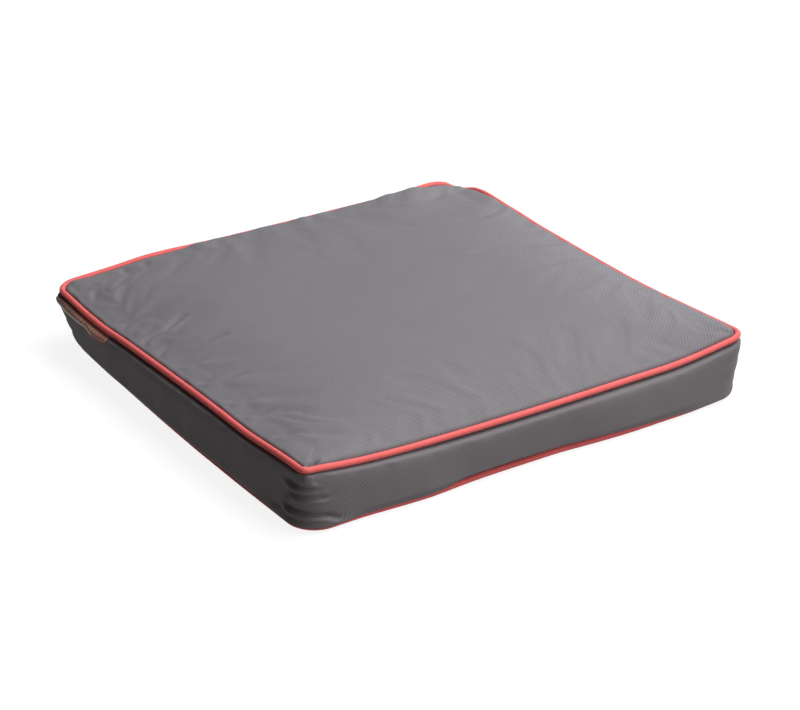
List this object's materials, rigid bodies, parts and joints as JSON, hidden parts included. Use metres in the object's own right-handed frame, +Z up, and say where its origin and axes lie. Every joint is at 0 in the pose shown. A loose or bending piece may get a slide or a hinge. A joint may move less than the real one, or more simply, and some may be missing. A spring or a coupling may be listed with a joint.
{
  "type": "kneeling pad",
  "caption": "Square boxed kneeling pad: a foam block in a woven fabric cover, with corded piping round its top and bottom edges, a ribbon label on one side and a zip along the back border.",
  "frame": {"origin": "centre of the underside, on the ground", "axes": "+X to the right along the front border, +Y from the front border to the back border with the zip, +Z up"},
  "size_m": [0.4566, 0.4372, 0.066],
  "materials": {
    "cover_fabric": "matt grey woven polyester with a fine rib",
    "piping_fabric": "coral red woven bias strip",
    "cord": "twisted cotton cord",
    "foam": "open-cell polyurethane foam, matt",
    "wadding": "white polyester fibre wadding",
    "thread": "polyester sewing thread",
    "label_ribbon": "woven brown ribbon with a cream edge",
    "zip_tape": "woven tape",
    "zip_coil": "nylon coil",
    "zip_metal": "grey enamelled zinc"
  },
  "bodies": {
    "cover": {"foam_core": "foam", "wadding_top": "wadding", "wadding_bottom": "wadding", "top_panel": "cover_fabric", "bottom_panel": "cover_fabric", "border_band": "cover_fabric", "zip_border_upper": "cover_fabric", "zip_border_lower": "cover_fabric", "top_piping_cover": "piping_fabric", "bottom_piping_cover": "piping_fabric", "top_piping_cord": "cord", "bottom_piping_cord": "cord", "top_seam_thread": "thread", "bottom_seam_thread": "thread", "zip_stitch_upper": "thread", "zip_stitch_lower": "thread", "side_label": "label_ribbon", "zip_tape_upper": "zip_tape", "zip_tape_lower": "zip_tape", "zip_chain_upper": "zip_coil", "zip_chain_lower": "zip_coil", "zip_bottom_stop": "zip_metal", "zip_top_stop_upper": "zip_metal", "zip_top_stop_lower": "zip_metal"},
    "slider": {"zip_slider": "zip_metal"},
    "pull_tab": {"zip_pull_tab": "zip_metal"}
  },
  "joints": [
    {"name": "zip_slide", "type": "slide", "parent": "cover", "child": "slider", "axis": [-1, 0, 0], "range_m": [0, 0.35], "deforming": ["zip_chain_upper", "zip_chain_lower"]},
    {"name": "pull_tab_hinge", "type": "hinge", "parent": "slider", "child": "pull_tab", "pos_m": [0.176, 0.2184, 0.0308], "axis": [0, 0, -1], "range_deg": [0, 180]}
  ]
}
